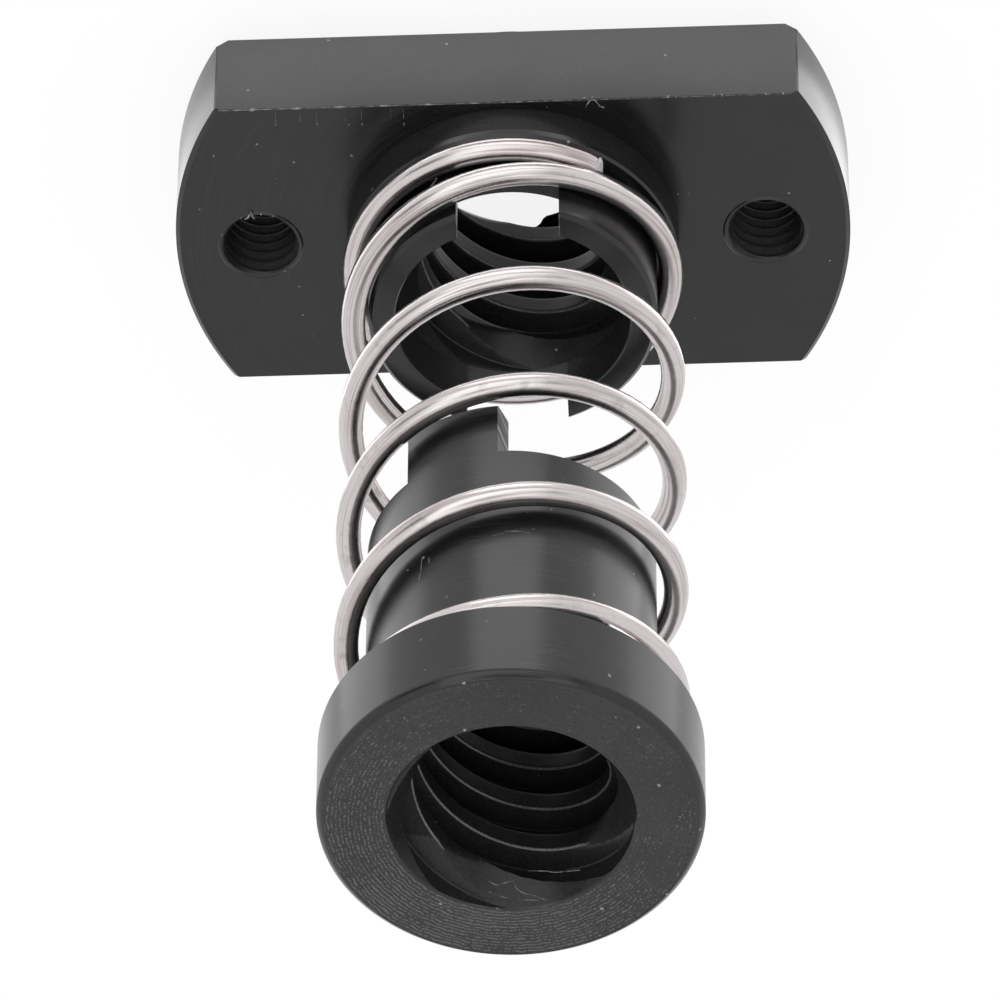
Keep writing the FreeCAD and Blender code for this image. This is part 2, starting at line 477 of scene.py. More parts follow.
def turning_marks():
    """Fine grooves left by the lathe: rings on a face, or rings along a round wall."""
    tree, board, given, out = new_group(
        "turning marks",
        [("Place", PLACE, None), ("Along Axis", NUMBER, 0.0), ("Feed", NUMBER, 0.0001),
         ("Break-up", NUMBER, 0.5)],
        [("Height", NUMBER)],
    )
    along = lathe_path(board, given)[0]
    grooves = board.node("ShaderNodeTexNoise", {
        "W": along, "Scale": 1.0, "Detail": 2.0, "Roughness": 0.6,
    }, noise_dimensions="1D").outputs["Fac"]
    even = board.math("SINE", board.times(along, 2 * math.pi))
    grooves = board.plus(grooves, board.times(even, 0.12))
    patches = board.noise(given["Place"], 900.0, 2.0)
    patches = board.remap(patches, 0.35, 0.65)
    kept = board.minus(1.0, board.times(patches, given["Break-up"]))
    board.feed(out["Height"], board.times(grooves, kept))
    return tree


def torn_dashes():
    """Short pale tears that lie along the lathe's rings, on a faced end or a round wall."""
    tree, board, given, out = new_group(
        "torn dashes",
        [("Place", PLACE, None), ("Along Axis", NUMBER, 0.0), ("Feed", NUMBER, 0.0001),
         ("Dash", NUMBER, 0.0003), ("Amount", NUMBER, 0.3),
         ("Strong Side", PLACE, (0.0, -1.0, 0.0))],
        [("Mask", NUMBER)],
    )
    out_way, flat, parts = lathe_path(board, given)
    angle = board.math("ARCTAN2", parts["Y"], parts["X"])
    wobble = board.times(board.noise(given["Place"], 2600.0, 2.0), 1.5)
    out_way = board.plus(out_way, wobble)
    lane = board.math("FLOOR", out_way)
    inside = board.math("ABSOLUTE", board.minus(board.math("FRACT", out_way), 0.5))
    inside = board.remap(inside, 0.26, 0.10)
    round_way = board.over(board.times(angle, DASH_RADIUS), given["Dash"])
    unrolled = board.join(round_way, board.times(lane, LANE_SHIFT))
    streaks = board.noise(unrolled, 1.0, 2.0, 0.6)
    patches = board.noise(given["Place"], 500.0, 3.0)
    outward = board.vector("NORMALIZE", flat)
    side = board.vector("DOT_PRODUCT", outward, given["Strong Side"])
    weight = board.plus(patches, board.times(side, 0.45))
    start = board.minus(0.92, board.times(given["Amount"], 0.4))
    start = board.minus(start, board.times(weight, 0.3))
    mask = board.held(board.times(board.minus(streaks, start), 9.0))
    board.feed(out["Mask"], board.times(mask, inside))
    return tree


def fine_specks():
    """Small pale chips and lint that cling to a machined surface."""
    tree, board, given, out = new_group(
        "fine specks",
        [("Place", PLACE, None), ("Spacing", NUMBER, 0.0007), ("Size", NUMBER, 0.00005),
         ("Share", NUMBER, 0.5)],
        [("Mask", NUMBER)],
    )
    scaled = board.scaled(given["Place"], board.over(1.0, given["Spacing"]))
    bent = board.node("ShaderNodeTexNoise", {"Vector": scaled, "Scale": 6.0}).outputs["Color"]
    scaled = board.vector("ADD", scaled, board.scaled(bent, 0.12))
    cells = board.node("ShaderNodeTexVoronoi", {"Vector": scaled, "Scale": 1.0}).outputs
    chance = board.node("ShaderNodeSeparateColor", {0: cells["Color"]}).outputs
    chosen = board.math("LESS_THAN", chance["Red"], given["Share"])
    size = board.over(given["Size"], given["Spacing"])
    size = board.times(size, board.plus(chance["Green"], 0.5))
    near = board.minus(1.0, board.over(cells["Distance"], size))
    near = board.held(board.times(near, 3.0))
    strength = board.plus(0.35, board.times(chance["Blue"], 0.65))
    near = board.times(near, strength)
    board.feed(out["Mask"], board.times(near, chosen))
    return tree


def smudges():
    """Slow changes of gloss from handling and from the cutter's load."""
    tree, board, given, out = new_group(
        "smudges",
        [("Place", PLACE, None), ("Size", NUMBER, 0.004), ("Low", NUMBER, 0.4),
         ("High", NUMBER, 0.5)],
        [("Roughness", NUMBER)],
    )
    scale = board.over(1.0, given["Size"])
    cloud = board.noise(given["Place"], scale, 4.0, 0.6)
    cloud = board.remap(cloud, 0.3, 0.7)
    span = board.minus(given["High"], given["Low"])
    rough = board.plus(given["Low"], board.times(cloud, span))
    board.feed(out["Roughness"], rough)
    return tree


def milling_marks():
    """Straight cutter marks, closely spaced along one direction."""
    tree, board, given, out = new_group(
        "milling marks",
        [("Place", PLACE, None), ("Direction", PLACE, (1.0, 0.0, 0.0)), ("Feed", NUMBER, 0.0002),
         ("Waver", NUMBER, 0.3)],
        [("Height", NUMBER)],
    )
    along = board.vector("DOT_PRODUCT", given["Place"], given["Direction"])
    along = board.over(along, given["Feed"])
    waver = board.times(board.noise(given["Place"], 700.0, 2.0), given["Waver"])
    along = board.plus(along, waver)
    coarse = board.node("ShaderNodeTexNoise", {
        "W": along, "Scale": 1.0, "Detail": 3.0, "Roughness": 0.65,
    }, noise_dimensions="1D").outputs["Fac"]
    board.feed(out["Height"], coarse)
    return tree


TURNING = turning_marks()
DASHES = torn_dashes()
SPECKS = fine_specks()
SMUDGES = smudges()
MILLING = milling_marks()

ACETAL = (0.0068, 0.0068, 0.0072)
TORN_ACETAL = (0.22, 0.22, 0.22, 1.0)
BRIGHT_STEEL = (0.62, 0.578, 0.582, 1.0)
DULL_STEEL = (0.45, 0.400, 0.392, 1.0)
DRAW_MARK = (0.27, 0.215, 0.195, 1.0)
STAIN = (0.20, 0.16, 0.15, 1.0)


def cleared(tree):
    """The board of a tree that has been emptied."""
    tree.nodes.clear()
    return Board(tree)


def new_material(name):
    """A material, its board, its shader and the place on the piece."""
    material = bpy.data.materials.new(name)
    material.use_nodes = True
    board = cleared(material.node_tree)
    shader = board.node("ShaderNodeBsdfPrincipled")
    board.node("ShaderNodeOutputMaterial", {"Surface": shader.outputs[0]})
    place = board.node("ShaderNodeTexCoord").outputs["Object"]
    return material, board, shader.inputs, place


def acetal(name, marks, depth, gloss, specks=0.5, dashes=None, torn_share=0.5, shade=1.0,
           specular=0.5, contrast=0.35):
    """Black acetal with one kind of tool marks: marks is (group, its settings), gloss is
    (lowest roughness, highest), and dashes are the settings of its torn lines."""
    material, board, shader, place = new_material(name)
    group, settings = marks
    height = board.group(group, {"Place": place, **settings})["Height"]
    rough = board.group(SMUDGES, {"Place": place, "Low": gloss[0], "High": gloss[1]})["Roughness"]
    pale = board.group(SPECKS, {"Place": place, "Share": specks})["Mask"]
    if dashes:
        torn = board.group(DASHES, {"Place": place, **dashes})["Mask"]
        pale = board.math("MAXIMUM", pale, board.times(torn, torn_share))
    body = tuple(channel * shade for channel in ACETAL)
    tone = board.remap(board.noise(place, 300.0, 4.0), 0.3, 0.7, 0.8, 1.25)
    fine = board.remap(board.noise(place, 9000.0, 2.0), 0.3, 0.7, 0.7, 1.3)
    tone = board.times(tone, fine)
    marked = board.times(board.minus(height, 0.45), contrast)
    tone = board.math("MAXIMUM", board.plus(tone, marked), 0.1)
    colour = board.scaled(body, tone)
    board.feed(shader["Base Color"], board.blend(pale, colour, TORN_ACETAL))
    board.feed(shader["Roughness"], board.plus(rough, board.times(pale, 0.25)))
    lifted = board.plus(height, board.times(pale, 0.6))
    bump = board.node("ShaderNodeBump", {"Height": lifted, "Distance": depth, "Strength": 1.0})
    board.feed(shader["Normal"], bump.outputs[0])
    shader["IOR"].default_value = 1.48
    shader["Specular IOR Level"].default_value = specular
    return material


def rings_on_face(feed, break_up):
    """Tool marks round a flat face, this far apart in metres."""
    return (TURNING, {"Feed": feed, "Break-up": break_up})


def rings_on_wall(feed, break_up):
    """Tool marks along a round wall, this far apart in metres."""
    return (TURNING, {"Along Axis": 1.0, "Feed": feed, "Break-up": break_up})


ACETALS = {
    "faced": acetal(
        "acetal, faced flange", rings_on_face(0.00013, 0.8), 1.6e-6, (0.18, 0.25),
        dashes={"Feed": 0.00011, "Dash": 0.003, "Amount": 0.4, "Strong Side": (-0.7, 0.8, 0.0)},
        torn_share=0.035,
    ),
    "collar face": acetal(
        "acetal, faced collar", rings_on_face(0.00016, 0.5), 5.0e-6, (0.40, 0.48),
        dashes={"Feed": 0.00014, "Dash": 0.00010, "Amount": 0.66,
                "Strong Side": (-0.45, -0.8, 0.0)},
        torn_share=0.34, shade=3.0,
    ),
    "turned": acetal(
        "acetal, turned round", rings_on_wall(0.00008, 0.6), 1.2e-6, (0.20, 0.27),
        dashes={"Along Axis": 1.0, "Feed": 0.00010, "Dash": 0.003, "Amount": 0.55,
                "Strong Side": (0.0, 0.0, 0.0)},
        torn_share=0.07,
    ),
    "milled": acetal(
        "acetal, milled flats",
        (MILLING, {"Direction": (0.8, 0.0, 0.6), "Feed": 0.0003, "Waver": 0.4}),
        1.5e-6, (0.28, 0.36), specks=0.1, shade=1.5,
    ),
    "tang side": acetal(
        "acetal, milled tang sides",
        (MILLING, {"Direction": (0.3, 0.62, 0.72), "Feed": 0.00024, "Waver": 0.8}),
        1.2e-5, (0.32, 0.44), shade=8.0, specular=0.2, contrast=12.0,
    ),
    # The bored and cut-thread acetals are lighter than the faced one: painted light that stands in
    # for the little light inside the bores
    "bored": acetal(
        "acetal, threaded bore", rings_on_wall(0.00007, 0.3), 1.2e-6, (0.24, 0.34),
        specks=0.25, shade=2.2, specular=0.28,
    ),
    "thread": acetal(
        "acetal, cut thread", rings_on_wall(0.00007, 0.3), 1.2e-6, (0.34, 0.44),
        specks=0.25, shade=1.8, specular=0.12,
    ),
    "edges": acetal(
        "acetal, broken edges", rings_on_face(0.0001, 0.9), 1.5e-6, (0.14, 0.2), shade=1.3,
    ),
    # Paler than the other acetals: a painted highlight along the crests' front edges
    "painted crest highlight": acetal(
        "acetal, crest edges with painted highlight", rings_on_wall(0.00005, 0.5), 1.0e-6, (0.10, 0.18),
        specks=0.25, shade=14.0,
    ),
}


def spring_wire():
    """Bright drawn stainless wire with long brownish draw marks. Its tree leaves two
    attributes on it: run, in turns along the wire, and side, the direction round it."""
    material, board, shader, place = new_material("stainless spring wire")
    run = board.node("ShaderNodeAttribute", attribute_name="run").outputs["Fac"]
    side = board.node("ShaderNodeAttribute", attribute_name="side").outputs["Vector"]
    parts = board.split(side)

    def drawn(along):
        """A place on the wire whose length is pressed together, so that noise there
        gives streaks."""
        return board.join(parts["X"], parts["Y"], board.times(run, along))

    broad = board.remap(board.noise(drawn(5.0), 1.6, 3.0, 0.6), 0.48, 0.68)
    lines = board.remap(board.noise(drawn(0.6), 9.0, 3.0, 0.65), 0.54, 0.70)
    stains = board.remap(board.noise(place, 1500.0, 3.0), 0.62, 0.74)
    colour = board.blend(broad, BRIGHT_STEEL, DULL_STEEL)
    colour = board.blend(board.times(lines, 0.75), colour, DRAW_MARK)
    colour = board.blend(board.times(stains, 0.3), colour, STAIN)
    board.feed(shader["Base Color"], colour)
    shader["Metallic"].default_value = 1.0
    gloss = board.group(SMUDGES, {"Place": place, "Size": 0.0015, "Low": 0.17, "High": 0.27})
    rough = board.plus(gloss["Roughness"], board.times(lines, 0.1))
    board.feed(shader["Roughness"], rough)
    bump = board.node("ShaderNodeBump", {
        "Height": board.noise(drawn(0.6), 14.0, 2.0), "Distance": 1.5e-6, "Strength": 1.0,
    })
    board.feed(shader["Normal"], bump.outputs[0])
    return material


def burr_material():
    """Thin curled acetal burr, pale where it is torn and stretched."""
    material, board, shader, place = new_material("acetal, torn burr")
    cloud = board.remap(board.noise(place, 5000.0, 2.0), 0.35, 0.65)
    colour = board.blend(cloud, (0.04, 0.04, 0.04, 1.0), (0.26, 0.26, 0.255, 1.0))
    board.feed(shader["Base Color"], colour)
    gloss = board.group(SMUDGES, {"Place": place, "Size": 0.0006, "Low": 0.3, "High": 0.5})
    board.feed(shader["Roughness"], gloss["Roughness"])
    return material


def cut_end_with_painted_glint():
    """The wire's cut end: bare steel, matt and grainy from the cutter, and paler than the wire as a
    painted glint.
    """
    material, board, shader, place = new_material("stainless, cut end with painted glint")
    cloud = board.remap(board.noise(place, 9000.0, 3.0), 0.35, 0.65)
    colour = board.blend(cloud, (0.62, 0.60, 0.60, 1.0), (0.86, 0.85, 0.85, 1.0))
    board.feed(shader["Base Color"], colour)
    shader["Metallic"].default_value = 0.3
    gloss = board.group(SMUDGES, {"Place": place, "Size": 0.0003, "Low": 0.5, "High": 0.7})
    board.feed(shader["Roughness"], gloss["Roughness"])
    return material


WIRE = spring_wire()
CUT_END_WITH_PAINTED_GLINT = cut_end_with_painted_glint()
BURR = burr_material()


# The two nuts. A row is (radius, height, finish of the faces that end there).
def turn_up(skin, loop, rows, closed=True):
    """Strips from each row's loop to the next one's. It gives back the loops."""
    loops = [loop(radius, height) for radius, height, _ in rows]
    for first, second, (_, _, finish) in zip(loops, loops[1:], rows[1:]):
        skin.use(finish)
        skin.strip(first, second, closed)
    return loops


def raise_part(skin, part, half_width, turned, rows, side_finish):
    """One quarter of a tube's end that stands out, with two flat sides. Its rows lead up
    its outside, over its end and down its bore."""
    def arc(radius, height):
        return arcs(radius, height, half_width, turned)[part]

    loops = turn_up(skin, arc, rows, closed=False)
    skin.use(side_finish)
    for end in (0, -1):
        skin.plate([places[end] for places in loops])


def flange_nut():
    """Round flange with two flats, boss behind it, shoulder and slotted sleeve before it."""
    skin = Skin(ACETALS)

    def loop(radius, height):
        return ring(radius, height, HALF_SLOT)

    # The screw thread between its two countersinks, and the boss round it
    angles = ring_angles(HALF_SLOT)
    screw = Thread(
        SCREW_FORM, PITCH, LEAD, CREST_HEIGHT, BOSS_END, SLOT_FLOOR,
        [(BOSS_END + BOSS_MOUTH_DEPTH, (CREST_R - BOSS_MOUTH_R) / BOSS_MOUTH_DEPTH),
         (SLOT_FLOOR - MOUTH_DEPTH, (MOUTH_R - CREST_R) / MOUTH_DEPTH)],
    )
    screw.wall(skin, angles, "bored", "painted crest highlight", FRONT_EDGE)
    skin.use("faced")
    skin.strip(screw.end(angles, BOSS_END), loop(BARREL_R - EDGE_BREAK, BOSS_END))
    turn_up(skin, loop, [
        (BARREL_R - EDGE_BREAK, BOSS_END, "faced"),
        (BARREL_R, BOSS_END + EDGE_BREAK, "edges"),
        (BARREL_R, 0.0, "turned"),
    ])

    # The two tapped holes, each with a small lip in front that the tap has raised
    slope = (TAPPED_MOUTH_R - TAPPED_CREST_R) / TAPPED_MOUTH_DEPTH
    lip_top = FLANGE_TOP + LIP_HEIGHT
    front = lip_top - LIP_DIP
    rear_holes = []
    front_holes = []
    for centre_x in (HOLE_X, -HOLE_X):
        hole = Thread(
            TAPPED_FORM, TAPPED_PITCH, TAPPED_PITCH, TAPPED_CREST_HEIGHT, 0.0, front,
            [(TAPPED_MOUTH_DEPTH, -slope), (front - TAPPED_MOUTH_DEPTH, slope)], centre_x,
        )
        hole.wall(skin, TAPPED_ANGLES, "thread", "thread")
        rear_holes.append(hole.end(TAPPED_ANGLES, 0.0))
        front_holes.append(hole_loop(TAPPED_MOUTH_R + LIP_FOOT, FLANGE_TOP, centre_x))
        skin.use("edges")
        skin.run([
            front_holes[-1],
            hole_loop(TAPPED_MOUTH_R + LIP_OUTER, lip_top, centre_x),
            hole_loop(TAPPED_MOUTH_R + LIP_INNER, lip_top, centre_x),
            hole.end(TAPPED_ANGLES, front),
        ])

    # Mounting face, front face and rim
    levels = [
        (FLANGE_R - REAR_CHAMFER, HALF_FLATS - DEBURR, 0.0),
        (FLANGE_R - REAR_CHAMFER + DEBURR, HALF_FLATS, DEBURR),
        (FLANGE_R, HALF_FLATS, REAR_CHAMFER),
        (FLANGE_R, HALF_FLATS, FLANGE_TOP - EDGE_BREAK),
        (FLANGE_R - EDGE_BREAK + DEBURR, HALF_FLATS, FLANGE_TOP - DEBURR),
        (FLANGE_R - EDGE_BREAK, HALF_FLATS - DEBURR, FLANGE_TOP),
    ]
    rims = [flange_loop(*level) for level in levels]
    skin.use("faced")
    skin.plate(rims[0], [loop(BARREL_R, 0.0), *rear_holes])
    skin.plate(rims[-1], [loop(SHOULDER_R, FLANGE_TOP), *front_holes])
    for number, (below, above) in enumerate(zip(rims, rims[1:])):
        at_edge = number in (0, len(rims) - 2)
        count = len(below)
        for here in range(count):
            after = (here + 1) % count
            length = abs(below[here].x - below[after].x)
            flat = below[here].y == below[after].y and length > SHORTEST_FLAT
            skin.use("edges" if at_edge else "milled" if flat else "turned")
            skin.add([below[here], below[after], above[after], above[here]])

    # Shoulder, matt where the facing tool rubbed it, and the foot of the sleeve
    turn_up(skin, loop, [
        (SHOULDER_R, FLANGE_TOP, "faced"),
        (SHOULDER_R, SHOULDER_TOP - SHOULDER_BAND, "thread"),
        (SHOULDER_R, SHOULDER_TOP - SHOULDER_EDGE_HEIGHT, "turned"),
        (SHOULDER_R - SHOULDER_EDGE_WIDTH, SHOULDER_TOP, "edges"),
        (BARREL_R, SHOULDER_TOP, "faced"),
        (BARREL_R, SLOT_FLOOR, "turned"),
    ])

    # Sleeve: the two parts beside the slots, and the slots' floors
    rows = [
        (BARREL_R, SLOT_FLOOR, "turned"),
        (BARREL_R, SLEEVE_TOP - EDGE_BREAK, "turned"),
        (BARREL_R - EDGE_BREAK, SLEEVE_TOP, "edges"),
        (MOUTH_R + DEBURR, SLEEVE_TOP, "faced"),
        (MOUTH_R, SLEEVE_TOP - DEBURR, "edges"),
        (MOUTH_R, SLOT_FLOOR, "bored"),
    ]
    for part in (0, 2):
        raise_part(skin, part, HALF_SLOT, 0.0, rows, "milled")
    outer_foot = arcs(BARREL_R, SLOT_FLOOR, HALF_SLOT)
    inner_foot = arcs(MOUTH_R, SLOT_FLOOR, HALF_SLOT)
    skin.use("milled")
    for part in (1, 3):
        skin.strip(outer_foot[part], inner_foot[part], closed=False)

    return skin.finished("flange_nut_turned")


def sliding_nut():
    """Collar, body, two tangs at its end, and the second threaded bore."""
    skin = Skin(ACETALS)

    def loop(radius, height):
        return ring(radius, height, HALF_TANG, TANG_TURN)

    # Rim beside the tangs, and the tangs
    outer_foot = arcs(BODY_R, BODY_END, HALF_TANG, TANG_TURN)
    inner_foot = arcs(MOUTH_R, BODY_END, HALF_TANG, TANG_TURN)
    skin.use("milled")
    for part in (0, 2):
        skin.strip(inner_foot[part], outer_foot[part], closed=False)
    rows = [
        (BODY_R, BODY_END, "turned"),
        (BODY_R, TANG_END + DEBURR, "turned"),
        (BODY_R - DEBURR, TANG_END, "edges"),
        (MOUTH_R + DEBURR, TANG_END, "faced"),
        (MOUTH_R, TANG_END + DEBURR, "edges"),
        (MOUTH_R, BODY_END, "bored"),
    ]
    for part in (1, 3):
        raise_part(skin, part, HALF_TANG, TANG_TURN, rows, "tang side")

    # Body and collar
    chamfer_foot = COLLAR_FRONT - COLLAR_CHAMFER
    face_edge = COLLAR_R - COLLAR_CHAMFER
    front = COLLAR_FRONT - DEBURR
    turn_up(skin, loop, [
        (BODY_R, BODY_END, "turned"),
        (BODY_R, COLLAR_BACK, "turned"),
        (COLLAR_R - EDGE_BREAK, COLLAR_BACK, "faced"),
        (COLLAR_R, COLLAR_BACK + EDGE_BREAK, "edges"),
        (COLLAR_R, chamfer_foot - SUPPORT, "turned"),
        (COLLAR_R, chamfer_foot, "turned"),
        (COLLAR_R - CHAMFER_EASE_IN, chamfer_foot + CHAMFER_EASE_ALONG, "edges"),
        (face_edge + CHAMFER_EASE_ALONG, COLLAR_FRONT - CHAMFER_EASE_IN, "edges"),
        (face_edge, COLLAR_FRONT, "edges"),
        (face_edge - SUPPORT, COLLAR_FRONT, "collar face"),
        (MOUTH_R + DEBURR, COLLAR_FRONT, "collar face"),
        (MOUTH_R, front, "edges"),
    ])

    # Screw thread between its two countersinks
    slope = (MOUTH_R - CREST_R) / MOUTH_DEPTH
    screw = Thread(
        SCREW_FORM, PITCH, LEAD, CREST_HEIGHT, BODY_END, front,
        [(BODY_END + MOUTH_DEPTH, -slope), (front - MOUTH_DEPTH, slope)],
    )
    screw.wall(skin, ring_angles(HALF_TANG, TANG_TURN), "thread", "painted crest highlight", FRONT_EDGE)
    return skin.finished("sliding_nut_turned")


# Spring, wound by Geometry Nodes
def as_plain_mesh(piece, tree, settings):
    """Run a Geometry Nodes tree on a piece with these inputs, and keep the mesh it gives."""
    modifier = piece.modifiers.new("made", "NODES")
    modifier.node_group = tree
    sockets = {
        item.name: item.identifier
        for item in tree.interface.items_tree
        if item.item_type == "SOCKET" and item.in_out == "INPUT"
    }
    for name, number in settings.items():
        modifier[sockets[name]] = number
    bpy.context.view_layer.update()
    evaluated = piece.evaluated_get(bpy.context.evaluated_depsgraph_get())
    mesh = bpy.data.meshes.new_from_object(evaluated)
    piece.modifiers.remove(modifier)
    old = piece.data
    piece.data = mesh
    mesh.name = piece.name
    bpy.data.meshes.remove(old)
    return piece


def new_geometry(name, inputs):
    """A Geometry Nodes tree with named inputs, and the rest that new_group gives."""
    inputs = [("Geometry", GEOMETRY, None), *inputs]
    return new_group(name, inputs, [("Geometry", GEOMETRY)], "GeometryNodeTree")


def finish_tree(tree, board, given, out, geometry):
    """The end of every tree: whole meshes with their material."""
    whole = board.first("GeometryNodeRealizeInstances", {0: geometry})
    dressed = {"Geometry": whole, "Material": given["Material"]}
    board.feed(out["Geometry"], board.first("GeometryNodeSetMaterial", dressed))
    return tree


def wound_spring():
    """The coil's tree: a straight line of points is wound up, flat at both ends."""
    tree, board, given, out = new_geometry("wound spring", [
        ("Coil Radius", NUMBER, 0.005), ("Wire Radius", NUMBER, 0.0004), ("Turns", NUMBER, 6.0),
        ("Closed Turns", NUMBER, 0.8), ("Ramp Turns", NUMBER, 0.15), ("Rise", NUMBER, 0.02),
        ("Start Angle", NUMBER, 0.0), ("Base", NUMBER, 0.0), ("Steps", WHOLE_NUMBER, 400),
        ("Sides", WHOLE_NUMBER, 24), ("Material", MATERIAL, None),
    ])
    line = board.first("GeometryNodeMeshLine", {
        "Count": given["Steps"], "Offset": (0.0, 0.0, 0.001),
    })
    index = board.first("GeometryNodeInputIndex")
    share = board.over(index, board.minus(given["Steps"], 1.0))
    turns = board.times(share, given["Turns"])

    def climbed(past):
        """The climb after this many turns: a soft start over the ramp, then even."""
        past = board.math("MAXIMUM", past, 0.0)
        soft = board.math("MINIMUM", past, given["Ramp Turns"])
        square = board.times(soft, soft)
        square = board.over(square, board.times(given["Ramp Turns"], 2.0))
        return board.plus(square, board.minus(past, soft))

    def climb_at(place):
        """The climb between the two flat ends, not yet scaled to the rise."""
        begins = board.minus(place, given["Closed Turns"])
        ends = board.minus(given["Turns"], given["Closed Turns"])
        ends = board.minus(board.plus(place, given["Ramp Turns"]), ends)
        return board.minus(climbed(begins), climbed(ends))

    height = board.over(climb_at(turns), climb_at(given["Turns"]))
    height = board.plus(board.times(height, given["Rise"]), given["Base"])
    angle = board.plus(board.times(turns, 2 * math.pi), given["Start Angle"])
    place = board.join(
        board.times(board.math("COSINE", angle), given["Coil Radius"]),
        board.times(board.math("SINE", angle), given["Coil Radius"]),
        height,
    )
    placed = board.first("GeometryNodeSetPosition", {"Geometry": line, "Position": place})
    measured = board.first("GeometryNodeStoreNamedAttribute", {
        "Geometry": placed, "Name": "run", "Value": turns,
    }, data_type="FLOAT", domain="POINT")
    path = board.first("GeometryNodeMeshToCurve", {"Mesh": measured})
    section = board.first("GeometryNodeCurvePrimitiveCircle", {
        "Resolution": given["Sides"], "Radius": given["Wire Radius"],
    })
    outward = board.vector("NORMALIZE", board.first("GeometryNodeInputPosition"))
    section = board.first("GeometryNodeStoreNamedAttribute", {
        "Geometry": section, "Name": "side", "Value": outward,
    }, data_type="FLOAT_VECTOR", domain="POINT")
    wire = board.first("GeometryNodeCurveToMesh", {
        "Curve": path, "Profile Curve": section, "Fill Caps": True,
    })
    return finish_tree(tree, board, given, out, wire)


def cut_slanting(faces, tip, along, facing, step):
    """Slide the wire's last two rings of points along it, so that the cut end faces this
    way. tip is the middle of the end, and along points from there into the wire."""
    for point in faces.verts:
        offset = point.co - tip
        reach = offset.dot(along)
        if offset.length < 2 * step and reach < 1.5 * step:
            across = offset - along * reach
            share = 1.0 if reach < 0.5 * step else 0.5
            point.co -= along * share * across.dot(facing) / along.dot(facing)


def trim_wire(piece):
    """Cut the wire's first end at a slant, and break its sharp edges."""
    faces = bmesh.new()
    faces.from_mesh(piece.data)
    bmesh.ops.remove_doubles(faces, verts=faces.verts, dist=1e-7)
    start = math.radians(SPRING_START)
    tip = Vector((COIL_R * math.cos(start), COIL_R * math.sin(start), SPRING_BASE)) * MM
    along = Vector((-math.sin(start), math.cos(start), 0.0))
    step = TURNS * 2 * math.pi * COIL_R * MM / (SPRING_STEPS - 1)
    facing = Vector(CUT_FACING)
    cut_slanting(faces, tip, along, facing, step)
    bmesh.ops.recalc_face_normals(faces, faces=faces.faces)
    limit = math.radians(CUT_ANGLE)
    sharp = [edge for edge in faces.edges if edge.calc_face_angle(0.0) > limit]
    bmesh.ops.bevel(
        faces, geom=sharp, offset=CUT_EDGE * MM, segments=2, profile=0.5, affect="EDGES",
        clamp_overlap=True,
    )
    faces.normal_update()
    # The cut end's faces take the second material, whose pale colour is a painted glint
    for face in faces.faces:
        at_tip = (face.calc_center_median() - tip).length < 2 * step
        face.material_index = 1 if at_tip and face.normal.dot(facing) > 0.97 else 0
    smooth_over(faces, WIRE_SHARP_ANGLE)
    faces.to_mesh(piece.data)
    faces.free()
    piece.data.materials.append(CUT_END_WITH_PAINTED_GLINT)


# Burrs and chips. A strand is ([places], thickness or one for each place), a chip is
# (place, size), all in millimetres, and both are half sunk in what carries them.
def thickness(board):
    """The thickness that each point of a burr or chip carries, in metres."""
    named = {"Name": "thick"}
    return board.first("GeometryNodeInputNamedAttribute", named, data_type="FLOAT")


def thin_strand():
    """The tree for burrs and hairs: lines become thin rough threads with lumps."""
    tree, board, given, out = new_geometry("thin strand", [
        ("Step", NUMBER, 0.00006), ("Wander", NUMBER, 0.00001), ("Lumps", NUMBER, 0.7),
        ("Grain", NUMBER, 0.00018), ("Seed", NUMBER, 0.0), ("Material", MATERIAL, None),
    ])
    line = board.first("GeometryNodeMeshToCurve", {"Mesh": given["Geometry"]})
    soft = board.first("GeometryNodeCurveSplineType", {"Curve": line}, spline_type="CATMULL_ROM")
    fine = board.first("GeometryNodeResampleCurve", {
        "Curve": soft, "Length": given["Step"],
    }, mode="LENGTH")
    place = board.first("GeometryNodeInputPosition")
    place = board.vector("ADD", place, board.join(*[given["Seed"]] * 3))
    cloud = board.node("ShaderNodeTexNoise", {
        "Vector": place, "Scale": board.over(1.0, given["Grain"]), "Detail": 2.0,
    }).outputs
    shift = board.vector("SUBTRACT", cloud["Color"], (0.5, 0.5, 0.5))
    shift = board.scaled(shift, board.times(given["Wander"], 2.0))
    bent = board.first("GeometryNodeSetPosition", {"Geometry": fine, "Offset": shift})
    lumps = board.times(board.minus(cloud["Fac"], 0.5), 2.0)
    lumps = board.math("MAXIMUM", board.plus(board.times(lumps, given["Lumps"]), 1.0), 0.15)
    section = board.first("GeometryNodeCurvePrimitiveCircle", {"Resolution": 6, "Radius": 1.0})
    thread = board.first("GeometryNodeCurveToMesh", {
        "Curve": bent, "Profile Curve": section, "Scale": board.times(thickness(board), lumps),
        "Fill Caps": True,
    })
    return finish_tree(tree, board, given, out, thread)


